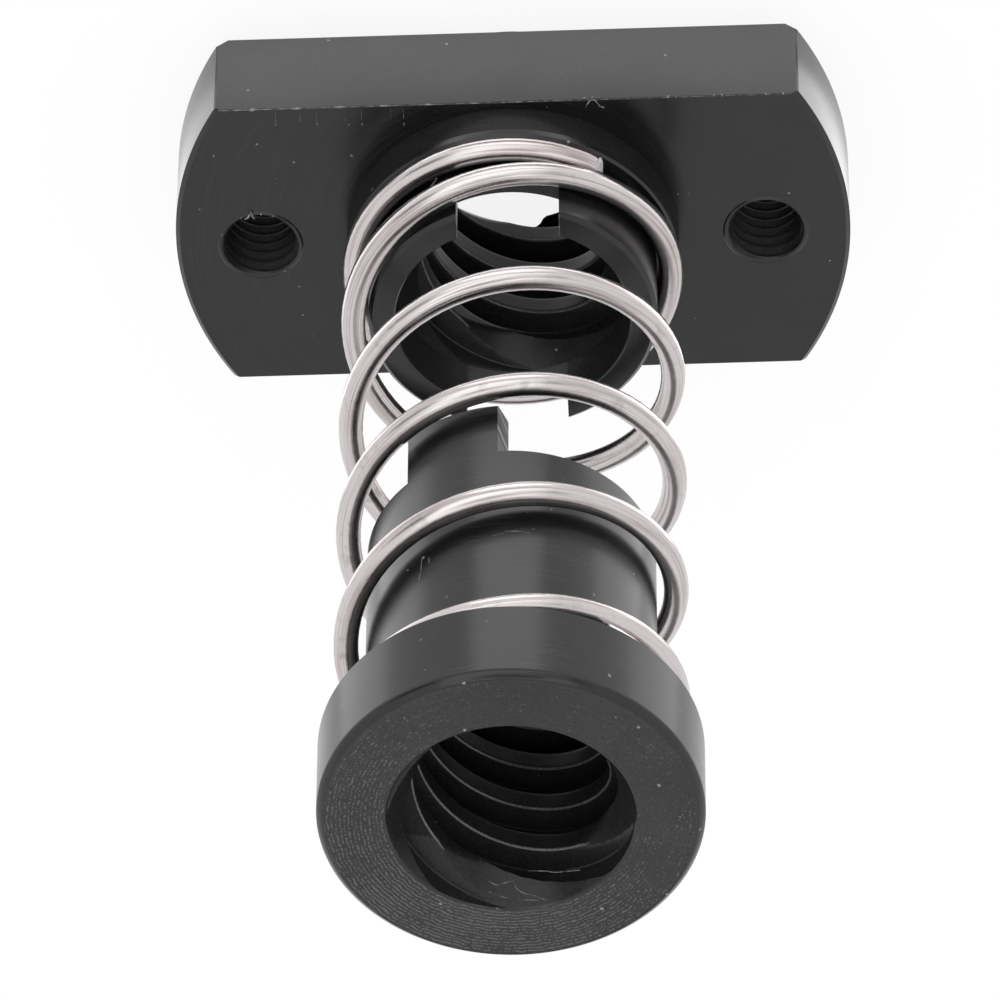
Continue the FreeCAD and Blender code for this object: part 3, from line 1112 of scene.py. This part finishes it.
def flecks():
    """The tree for chips: each point becomes a small rough grain, turned at random."""
    tree, board, given, out = new_geometry("flecks", [
        ("Seed", WHOLE_NUMBER, 3), ("Material", MATERIAL, None),
    ])
    grain = board.first("GeometryNodeMeshIcoSphere", {"Radius": 1.0, "Subdivisions": 2})
    turn = board.first("FunctionNodeRandomValue", {
        0: (0.0, 0.0, 0.0), 1: (6.28, 6.28, 6.28), 8: given["Seed"],
    }, data_type="FLOAT_VECTOR")
    stretch = board.first("FunctionNodeRandomValue", {
        0: (0.55, 0.45, 0.4), 1: (1.5, 1.0, 0.8), 8: board.plus(given["Seed"], 1.0),
    }, data_type="FLOAT_VECTOR")
    grains = board.first("GeometryNodeInstanceOnPoints", {
        "Points": given["Geometry"], "Instance": grain, "Rotation": turn,
        "Scale": board.scaled(stretch, thickness(board)),
    })
    single = board.first("GeometryNodeRealizeInstances", {0: grains})
    cloud = board.node("ShaderNodeTexNoise", {"Scale": 22000.0, "Detail": 2.0}).outputs["Color"]
    shift = board.scaled(board.vector("SUBTRACT", cloud, (0.5, 0.5, 0.5)), 0.00004)
    rough = board.first("GeometryNodeSetPosition", {"Geometry": single, "Offset": shift})
    return finish_tree(tree, board, given, out, rough)


def points_piece(name, chains):
    """An object of loose points or lines, each point with its thickness in metres."""
    places, edges, thick = [], [], []
    for chain, sizes in chains:
        begin = len(places)
        places.extend(tuple(number * MM for number in place) for place in chain)
        edges.extend((begin + step, begin + step + 1) for step in range(len(chain) - 1))
        if isinstance(sizes, (int, float)):
            sizes = [sizes] * len(chain)
        thick.extend(size * MM for size in sizes)
    piece = empty_piece(name)
    piece.data.from_pydata(places, edges, [])
    layer = piece.data.attributes.new("thick", "FLOAT", "POINT")
    layer.data.foreach_set("value", thick)
    return piece


def burrs(name, strands, chips, seed):
    """One mesh of strands and chips, made by the two trees."""
    piece = as_plain_mesh(points_piece(name, strands), STRAND_TREE, {
        "Seed": float(seed), "Material": BURR,
    })
    grains = points_piece(name + "_chips", [([place], size) for place, size in chips])
    as_plain_mesh(grains, FLECK_TREE, {"Seed": seed, "Material": BURR})
    joined = bmesh.new()
    joined.from_mesh(piece.data)
    joined.from_mesh(grains.data)
    bmesh.ops.remove_doubles(joined, verts=joined.verts, dist=2e-7)
    bmesh.ops.recalc_face_normals(joined, faces=joined.faces)
    for face in joined.faces:
        face.smooth = True
    joined.to_mesh(piece.data)
    joined.free()
    bpy.data.objects.remove(grains)
    return piece


def tick(x, y, length, thick):
    """A short straight burr on the flange's front face, square to the flats."""
    return ([(x, y + step, FLANGE_TOP) for step in (-length / 2, 0.0, length / 2)], thick)


# The fine burr along the flange's front edge: half its length, its points, how far it is
# sunk, where its first lump is and how far apart they are
BEAD_HALF = 10.15
BEAD_STEPS = 200
BEAD_SUNK = 0.03
FIRST_LUMP = -8.94
LUMP_SPACING = 1.55


def edge_bead():
    """The fine burr that the cutter left along the flange's front edge. Each lump has a
    small one beside it, and they get smaller to the right."""
    places, thick = [], []
    half = LUMP_SPACING / 2
    for step in range(BEAD_STEPS + 1):
        x = 2 * BEAD_HALF * step / BEAD_STEPS - BEAD_HALF
        nearest = abs((x - FIRST_LUMP + half) % LUMP_SPACING - half)
        fading = max(0.0, 1.0 - max(0.0, x + 9.0) / 14.0)
        lump = math.exp(-(nearest / 0.16) ** 2)
        lump += 0.25 * math.exp(-((nearest - 0.5) / 0.1) ** 2)
        places.append((x, HALF_FLATS - BEAD_SUNK, FLANGE_TOP - BEAD_SUNK))
        thick.append(0.008 + 0.05 * lump * fading)
    return (places, thick)


def flange_burrs():
    """Burrs on the flange nut: its front edge, the holes, and by the spring's foot."""
    strands = [edge_bead()]
    strands += [tick(x, y, 0.12, 0.016) for x, y in [
        (-3.63, 5.35), (-5.11, 5.40), (-6.69, 5.47), (-8.14, 5.52),
    ]]
    strands += [tick(x, 5.82, 0.45, 0.005) for x in (
        -3.63, -4.07, -5.11, -5.69, -6.69, -7.28, -8.14,
    )]
    for side in (-1, 1):
        edge = side * HALF_SLOT
        strands += [
            ([(edge, y, SLEEVE_TOP) for y in (4.72, 4.3, 3.76)], 0.008),
            ([(edge, 3.74, z) for z in (SLEEVE_TOP - 0.05, 7.6, SLOT_FLOOR + 0.1)], 0.007),
        ]
    strands += [
        ([(2.80, 5.86, 4.0), (2.84, 6.08, 4.16), (2.95, 6.24, 4.12), (3.10, 6.27, 4.12),
          (3.24, 6.14, 4.18), (3.28, 5.98, 4.1), (3.42, 5.83, 4.0)],
         [0.014, 0.018, 0.022, 0.02, 0.018, 0.02, 0.03]),
        ([(3.00, 6.20, 4.05), (3.02, 6.33, 4.1), (3.06, 6.40, 4.05)], 0.012),
        ([(-9.26, 1.56, 4.02), (-9.32, 1.42, 4.07), (-9.40, 1.30, 4.06), (-9.50, 1.22, 4.0)],
         [0.03, 0.045, 0.035, 0.02]),
        ([(-9.26, 1.56, 4.02), (-9.19, 1.40, 4.08), (-9.14, 1.24, 4.03)], [0.03, 0.05, 0.03]),
        ([(-2.48, 4.65, 6.2), (-2.63, 4.43, 6.25), (-2.75, 4.25, 6.2), (-2.93, 4.03, 6.2)], 0.03),
    ]
    chips = [((x, HALF_FLATS, FLANGE_TOP - 0.02), 0.05) for x in (
        5.70, 5.98, 7.31, 7.60, 9.14, 9.74,
    )]
    lip = TAPPED_MOUTH_R + 0.08
    chips += [
        ((-HOLE_X + lip * math.cos(angle), lip * math.sin(angle), FLANGE_TOP + LIP_HEIGHT), size)
        for angle, size in [(1.2, 0.04), (1.5, 0.045), (2.0, 0.05), (2.45, 0.035), (2.75, 0.03),
                            (4.1, 0.03), (5.3, 0.03)]
    ]
    chips += [((5.92, 1.78, FLANGE_TOP), 0.045), ((4.93, 2.0, SHOULDER_TOP), 0.045)]
    chips += [((x, HALF_FLATS, z), 0.022) for x, z in [
        (-2.90, 2.79), (1.94, 1.22), (4.27, 2.40), (8.14, 3.04),
    ]]
    return burrs("flange_burrs", strands, chips, 5)


def nut_burrs():
    """Burrs on the sliding nut: in its mouth, along its body and on its collar."""
    mouth = [
        (-0.88, -3.57, 33.45), (-0.65, -3.68, 33.54), (-0.38, -3.67, 33.47), (-0.08, -3.65, 33.40),
        (0.02, -3.78, 33.61), (0.28, -3.87, 33.77), (0.55, -3.90, 33.84), (0.82, -3.93, 33.97),
        (1.05, -3.95, 34.06), (1.29, -3.89, 34.08),
    ]
    lip = [
        (-0.89, -3.78, 33.76), (-0.53, -3.90, 33.85), (-0.13, -3.99, 33.92), (0.31, -4.00, 33.97),
        (0.82, -3.97, 34.03),
    ]
    fuzz = [
        (0.43, -3.45, 33.14), (1.01, -3.39, 33.23), (1.24, -3.37, 33.31), (1.51, -3.31, 33.38),
        (1.85, -3.19, 33.48), (2.19, -3.05, 33.59),
    ]
    strands = [
        (mouth, 0.018), (lip, 0.011), (fuzz, 0.014),
        ([(-2.86, 4.03, 25.68), (-2.89, 4.02, 26.17), (-2.95, 3.97, 26.62)], 0.014),
        ([(-0.02, 4.95, 25.36), (0.4, 4.93, 25.39), (0.82, 4.88, 25.41)], 0.008),
        ([(-0.46, 4.93, 25.57), (0.26, 4.94, 25.38), (0.98, 4.85, 25.19)], 0.008),
        ([(-2.62, 4.20, 25.73), (-2.60, 4.21, 26.05)], 0.012),
    ]
    chips = [((x, y, z), 0.03) for x, y, z in [
        (-3.06, 3.88, 22.64), (1.92, 4.55, 22.38), (3.15, 3.82, 22.17), (-3.35, 3.64, 25.73),
        (-0.32, 4.94, 26.04), (0.08, 4.94, 25.91), (-0.83, 4.87, 19.53), (-2.60, 5.95, 33.30),
        (-3.68, 5.35, 33.58),
    ]]
    chips += [((-2.50, 4.34, COLLAR_FRONT), 0.05)]
    chips += [((x, y, COLLAR_FRONT), 0.03) for x, y in [
        (5.63, -0.13), (5.67, 2.59), (3.49, 2.54), (-0.09, 5.86), (-0.20, 5.55), (-3.93, 4.80),
        (-4.59, 4.15),
    ]]
    return burrs("nut_burrs", strands, chips, 9)


STRAND_TREE = thin_strand()
FLECK_TREE = flecks()

flange = flange_nut()
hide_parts("flange_nut")
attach(flange, "flange")

nut = sliding_nut()
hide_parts("sliding_nut")
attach(nut, "nut")

for piece, body, slot in [
    (flange_burrs(), "flange", "flange_acetal"),
    (nut_burrs(), "nut", "nut_acetal"),
]:
    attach(piece, body)

coil = as_plain_mesh(empty_piece("spring_wire_wound"), wound_spring(), {
    "Coil Radius": COIL_R * MM, "Wire Radius": WIRE_R * MM, "Turns": TURNS,
    "Closed Turns": CLOSED_TURNS, "Ramp Turns": RAMP_TURNS, "Rise": RISE * MM,
    "Start Angle": math.radians(SPRING_START), "Base": SPRING_BASE * MM,
    "Steps": SPRING_STEPS, "Sides": WIRE_SIDES, "Material": WIRE,
})
trim_wire(coil)
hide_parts("spring")
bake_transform(coil)


# Floor, world, lamps and camera
WHITE = (1.0, 1.0, 1.0, 1.0)

# The floor: its half size in metres, how far it lies below the boss, and its glow
FLOOR_HALF = 1.5
FLOOR_GAP = 0.01
FLOOR_GLOW = 0.88

# Gaps in the white tent: (direction from the part, radius in degrees, brightness)
TENT_GAPS = [
    ((0.03, 0.66, 0.75), 14.0, 0.08),
    ((-0.73, 0.67, 0.135), 14.0, 0.24),
    ((0.42, 0.79, 0.44), 14.0, 0.42),
    ((0.0, -0.92, 0.38), 18.0, 0.15),
]

# A dark card on the floor, which only mirrors see: middle x, middle y, half width, half
# depth, and the share of the floor's glow that it takes away
DARK_CARD = (0.0, 12.7, 7.0, 1.8)
CARD_SHARE = 0.95

# The key lamp over the flats: what it lights, how far away and how high in degrees it
# stands, its size in metres and its brightness
MIDDLE = (0.0, 0.0, 0.016)
KEY_DISTANCE = 0.5
KEY_HEIGHT = 23.0
KEY_SIZE = (0.58, 1.1)
KEY_BRIGHTNESS = 0.7

# Low panels: (name, left, right, near, far, brightness), and how far above the boss's end
# they lie
PANELS = [
    ("near panel behind", -12.0, 12.0, 7.0, 10.9, 1.2),
    ("far panel behind", -12.0, 12.0, 22.0, 46.0, 1.3),
    ("panel on the left", -42.0, -13.0, -12.0, 12.0, 0.9),
    ("panel on the right", 20.0, 42.0, -12.0, 12.0, 0.8),
    ("near panel on the right", 13.0, 20.0, -12.0, 12.0, 1.6),
]
PANEL_LIFT = 0.1

# The camera, fitted to the photograph: its place, its own right and the way it looks
CAMERA_PLACE = (9.832, 227.543, 277.462)
CAMERA_RIGHT = (0.9991, -0.0412, -0.0034)
CAMERA_AHEAD = (-0.0297, -0.6593, -0.7514)
SENSOR_WIDTH = 36.0
LENS = 360.0


def seen_directly(board):
    """1 for camera, glossy and transmission rays, 0 for the rays that only carry light."""
    rays = board.node("ShaderNodeLightPath").outputs
    seen = board.math("MAXIMUM", rays["Is Camera Ray"], rays["Is Glossy Ray"])
    return board.math("MAXIMUM", seen, rays["Is Transmission Ray"])


def off_the_card(board):
    """Near 0 where a mirror sees the dark card on the floor, and 1 elsewhere."""
    middle_x, middle_y, half_width, half_depth = (size * MM for size in DARK_CARD)
    parts = board.split(board.node("ShaderNodeTexCoord").outputs["Object"])
    across = board.math("ABSOLUTE", board.minus(parts["X"], middle_x))
    away = board.math("ABSOLUTE", board.minus(parts["Y"], middle_y))
    across = board.math("LESS_THAN", across, half_width)
    away = board.math("LESS_THAN", away, half_depth)
    rays = board.node("ShaderNodeLightPath").outputs
    hidden = board.times(board.times(across, away), rays["Is Glossy Ray"])
    return board.minus(1.0, board.times(hidden, CARD_SHARE))


def pale_floor():
    """A plain white floor that the boss stands on, which keeps a soft shadow. It can be
    looked through from below."""
    faces = bmesh.new()
    height = (BOSS_END - FLOOR_GAP) * MM
    faces.faces.new([
        faces.verts.new((x * FLOOR_HALF, y * FLOOR_HALF, height))
        for x, y in [(-1, -1), (1, -1), (1, 1), (-1, 1)]
    ])
    floor = empty_piece("pale_floor")
    faces.to_mesh(floor.data)
    faces.free()
    material = bpy.data.materials.new("pale floor")
    material.use_nodes = True
    board = cleared(material.node_tree)
    paint = board.first("ShaderNodeBsdfDiffuse", {"Color": (0.8, 0.8, 0.8, 1.0)})
    thin = board.first("ShaderNodeBsdfDiffuse", {"Color": (0.12, 0.12, 0.12, 1.0)})
    glow = board.first("ShaderNodeEmission", {
        "Color": WHITE, "Strength": board.times(off_the_card(board), FLOOR_GLOW),
    })
    white = board.first("ShaderNodeAddShader", {0: thin, 1: glow})
    mixed = board.first("ShaderNodeMixShader", {0: seen_directly(board), 1: paint, 2: white})
    clear = board.first("ShaderNodeBsdfTransparent")
    underneath = board.node("ShaderNodeNewGeometry").outputs["Backfacing"]
    one_sided = board.first("ShaderNodeMixShader", {0: underneath, 1: mixed, 2: clear})
    board.node("ShaderNodeOutputMaterial", {"Surface": one_sided})
    floor.data.materials.append(material)


def white_world():
    """An even soft light, seen as white. Glossy surfaces also see the gaps in the white
    tent: round the camera, at the upper left and right, and below."""
    world = bpy.data.worlds.new("white studio")
    bpy.context.scene.world = world
    world.use_nodes = True
    board = cleared(world.node_tree)
    toward = board.node("ShaderNodeTexCoord").outputs["Generated"]
    bright = 1.0
    for direction, radius, brightness in TENT_GAPS:
        lined_up = board.vector("DOT_PRODUCT", toward, Vector(direction).normalized())
        edge = math.cos(math.radians(radius * 1.25))
        core = math.cos(math.radians(radius * 0.75))
        bright = board.times(bright, board.remap(lined_up, edge, core, 1.0, brightness))
    plain = board.first("ShaderNodeBackground", {"Color": WHITE, "Strength": 1.0})
    tent = board.first("ShaderNodeBackground", {"Color": WHITE, "Strength": bright})
    glossy = board.node("ShaderNodeLightPath").outputs["Is Glossy Ray"]
    mixed = board.first("ShaderNodeMixShader", {0: glossy, 1: plain, 2: tent})
    board.node("ShaderNodeOutputWorld", {"Surface": mixed})


def softbox(name, place, aim, width, height, brightness):
    """A rectangular lamp at a place in metres, turned to what it lights. Its brightness is
    what it adds where it is seen in a mirror, and the camera doesn't see it."""
    lamp = bpy.data.lights.new(name, "AREA")
    lamp.shape = "RECTANGLE"
    lamp.size = width
    lamp.size_y = height
    lamp.energy = brightness * math.pi * width * height
    holder = bpy.data.objects.new(name, lamp)
    holder.location = place
    holder.rotation_mode = "QUATERNION"
    holder.rotation_quaternion = (Vector(aim) - Vector(place)).to_track_quat("-Z", "Y")
    holder.visible_camera = False
    bpy.context.scene.collection.objects.link(holder)


def key_lamp():
    """The large soft lamp over the flats."""
    angle = math.radians(KEY_HEIGHT)
    away, up = KEY_DISTANCE * math.cos(angle), KEY_DISTANCE * math.sin(angle)
    place = (MIDDLE[0], MIDDLE[1] + away, MIDDLE[2] + up)
    softbox("key over the flats", place, MIDDLE, *KEY_SIZE, KEY_BRIGHTNESS)


def low_panel(name, left, right, near, far, brightness):
    """A flat lamp just above the floor that shines up, its edges in millimetres."""
    place = ((left + right) / 2 * MM, (near + far) / 2 * MM, (BOSS_END + PANEL_LIFT) * MM)
    above = (place[0], place[1], place[2] + 1.0)
    softbox(name, place, above, (right - left) * MM, (far - near) * MM, brightness)


def photo_camera():
    """The camera, where and how it stood for the photograph."""
    right = Vector(CAMERA_RIGHT).normalized()
    ahead = Vector(CAMERA_AHEAD).normalized()
    up = right.cross(ahead).normalized()
    right = ahead.cross(up)
    turned = Matrix((right, up, -ahead)).transposed().to_4x4()
    data = bpy.data.cameras.new("photo camera")
    data.sensor_width = SENSOR_WIDTH
    data.lens = LENS
    data.clip_start = 0.01
    data.clip_end = 10.0
    camera = bpy.data.objects.new("photo camera", data)
    camera.matrix_world = Matrix.Translation(Vector(CAMERA_PLACE) * MM) @ turned
    bpy.context.scene.collection.objects.link(camera)
    bpy.context.scene.camera = camera


pale_floor()
white_world()
key_lamp()
for panel in PANELS:
    low_panel(*panel)
photo_camera()
bpy.context.scene.view_settings.view_transform = "Standard"
